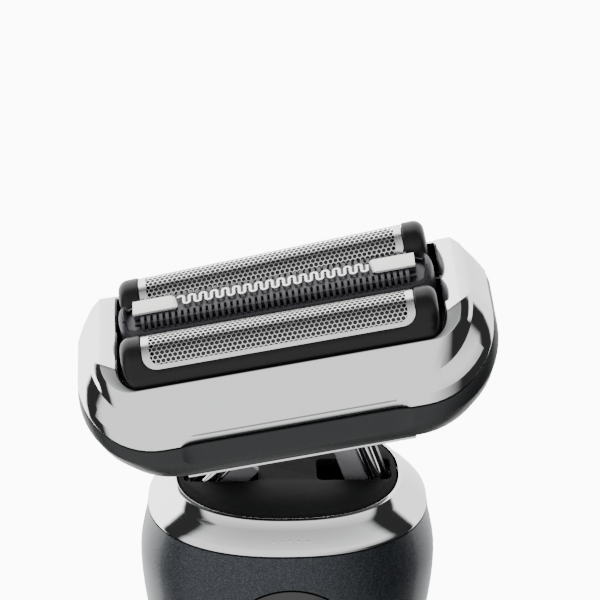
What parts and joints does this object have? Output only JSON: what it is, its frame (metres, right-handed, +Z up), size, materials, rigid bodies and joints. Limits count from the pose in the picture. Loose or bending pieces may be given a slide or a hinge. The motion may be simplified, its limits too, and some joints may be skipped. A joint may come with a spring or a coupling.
{
  "type": "electric foil shaver",
  "caption": "Cordless foil shaver: a flexing, tilting head with foils and a middle trimmer on a linked neck over an upright handle with a flat foot.",
  "frame": {"origin": "middle of the flat foot, at the height of the surface it stands on", "axes": "+Z up along the handle, -Y the front with the panel and button, +X to the right as the front is looked at"},
  "size_m": [0.0644, 0.0396, 0.1657],
  "materials": {
    "satin_shell": "dark blue-grey satin metallic",
    "chrome": "mirror",
    "matt_black": "fine matt grain",
    "gloss_black": "high gloss",
    "head_grey": "dark satin",
    "satin_black": "satin",
    "foil_steel": "perforated, bright",
    "cutter_steel": "ground",
    "trimmer_grey": "satin",
    "white_metal": "bright satin",
    "rubber": "ribbed grip",
    "inner_plastic": "moulded",
    "steel": "turned",
    "copper": "enamelled wire",
    "board_green": "solder mask",
    "cell_wrap": "shrink sleeve",
    "lens": "clear smoked"
  },
  "bodies": {
    "handle": {"front_shell": "satin_shell", "rear_shell": "satin_shell", "front_panel": "gloss_black", "display_lens": "lens", "rear_grip": "rubber", "foot_cap": "satin_black", "charging_socket": "satin_black", "contact_pin_left": "steel", "contact_pin_right": "steel", "foot_screw_left": "steel", "foot_screw_right": "steel", "chassis": "inner_plastic", "battery_cell": "cell_wrap", "cell_contact_lower": "steel", "cell_contact_upper": "steel", "circuit_board": "board_green", "tact_switch": "steel", "collar_ring": "chrome", "neck_plate": "matt_black", "neck_bracket": "inner_plastic", "lower_pin_left": "steel", "lower_pin_right": "steel"},
    "power_button": {"power_button": "chrome"},
    "left_arm": {"left_arm": "satin_black", "left_arm_bar": "chrome"},
    "right_arm": {"right_arm": "satin_black", "right_arm_bar": "chrome"},
    "head_carrier": {"head_carrier": "satin_black", "upper_pin_left": "steel", "upper_pin_right": "steel", "swivel_pin": "steel"},
    "head": {"head_base": "head_grey", "motor_cover": "inner_plastic", "motor_core": "cutter_steel", "motor_winding": "copper", "cover_screw_left": "steel", "cover_screw_right": "steel"},
    "release_button": {"release_button": "satin_black"},
    "front_armature": {"front_armature": "steel"},
    "rear_armature": {"rear_armature": "steel"},
    "cassette": {"cassette_frame": "chrome", "cassette_tray": "satin_black", "trimmer_spring_left": "steel", "trimmer_spring_right": "steel"},
    "front_cartridge": {"front_cartridge_frame": "satin_black", "front_foil": "foil_steel"},
    "rear_cartridge": {"rear_cartridge_frame": "satin_black", "rear_foil": "foil_steel"},
    "trimmer": {"trimmer_holder": "trimmer_grey", "trimmer_comb": "foil_steel", "trimmer_guard_strip": "foil_steel", "trimmer_end_plate_left": "white_metal", "trimmer_end_plate_right": "white_metal"},
    "front_cutter": {"front_cutter": "cutter_steel"},
    "rear_cutter": {"rear_cutter": "cutter_steel"},
    "trimmer_blade": {"trimmer_blade": "cutter_steel"}
  },
  "joints": [
    {"name": "power_press", "type": "slide", "parent": "handle", "child": "power_button", "axis": [0, 1, 0], "range_m": [0, 0.0008], "stiffness_N_per_m": 900, "springref_m": -0.0008},
    {"name": "left_arm_swing", "type": "hinge", "parent": "handle", "child": "left_arm", "pos_m": [-0.0154, 0, 0.1224], "axis": [0, 1, 0], "range_deg": [-24, 1.95]},
    {"name": "carrier_rock", "type": "hinge", "parent": "left_arm", "child": "head_carrier", "pos_m": [-0.0056, 0, 0.1331], "axis": [0, 1, 0], "range_deg": [-3.7, 45.2]},
    {"name": "right_arm_swing", "type": "hinge", "parent": "handle", "child": "right_arm", "pos_m": [0.0154, 0, 0.1224], "axis": [0, 1, 0], "range_deg": [-22.5, 1.9]},
    {"name": "head_pitch", "type": "hinge", "parent": "head_carrier", "child": "head", "pos_m": [0.00196, 0, 0.13734], "axis": [0.9834, 0, 0.1812], "range_deg": [-20.4, 7.5]},
    {"name": "release_press", "type": "slide", "parent": "head", "child": "release_button", "axis": [0.0204, -0.9937, -0.1105], "range_m": [0, 0.0012], "stiffness_N_per_m": 800, "springref_m": -0.0008},
    {"name": "front_drive", "type": "slide", "parent": "head", "child": "front_armature", "axis": [0.9834, 0, 0.1812], "range_m": [-0.001, 0.001], "stiffness_N_per_m": 3000},
    {"name": "rear_drive", "type": "slide", "parent": "head", "child": "rear_armature", "axis": [0.9834, 0, 0.1812], "range_m": [-0.001, 0.001]},
    {"name": "cassette_lift", "type": "slide", "parent": "head", "child": "cassette", "axis": [-0.1801, -0.1123, 0.9772], "range_m": [0, 0.014]},
    {"name": "front_foil_float", "type": "slide", "parent": "cassette", "child": "front_cartridge", "axis": [0.1801, 0.1123, -0.9772], "range_m": [0, 0.0015], "stiffness_N_per_m": 400, "springref_m": -0.002},
    {"name": "rear_foil_float", "type": "slide", "parent": "cassette", "child": "rear_cartridge", "axis": [0.1801, 0.1123, -0.9772], "range_m": [0, 0.0015], "stiffness_N_per_m": 400, "springref_m": -0.002},
    {"name": "trimmer_float", "type": "slide", "parent": "cassette", "child": "trimmer", "axis": [0.1801, 0.1123, -0.9772], "range_m": [0, 0.0015], "stiffness_N_per_m": 400, "springref_m": -0.002, "deforming": ["trimmer_spring_left", "trimmer_spring_right"]},
    {"name": "front_cutter_stroke", "type": "slide", "parent": "front_cartridge", "child": "front_cutter", "axis": [0.9834, 0, 0.1812], "range_m": [-0.001, 0.001]},
    {"name": "rear_cutter_stroke", "type": "slide", "parent": "rear_cartridge", "child": "rear_cutter", "axis": [0.9766, -0.0039, 0.2152], "range_m": [-0.001, 0.001]},
    {"name": "trimmer_blade_stroke", "type": "slide", "parent": "trimmer", "child": "trimmer_blade", "axis": [0.9834, 0, 0.1812], "range_m": [-0.001, 0.001]}
  ],
  "couplings": [
    {"joint": "carrier_rock", "follows": "left_arm_swing", "ratio": -1.8694},
    {"joint": "right_arm_swing", "follows": "left_arm_swing", "ratio": 0.9267},
    {"joint": "rear_drive", "follows": "front_drive", "ratio": -1},
    {"joint": "front_cutter_stroke", "follows": "front_drive", "ratio": 1},
    {"joint": "rear_cutter_stroke", "follows": "front_drive", "ratio": -1},
    {"joint": "trimmer_blade_stroke", "follows": "front_drive", "ratio": 1}
  ]
}
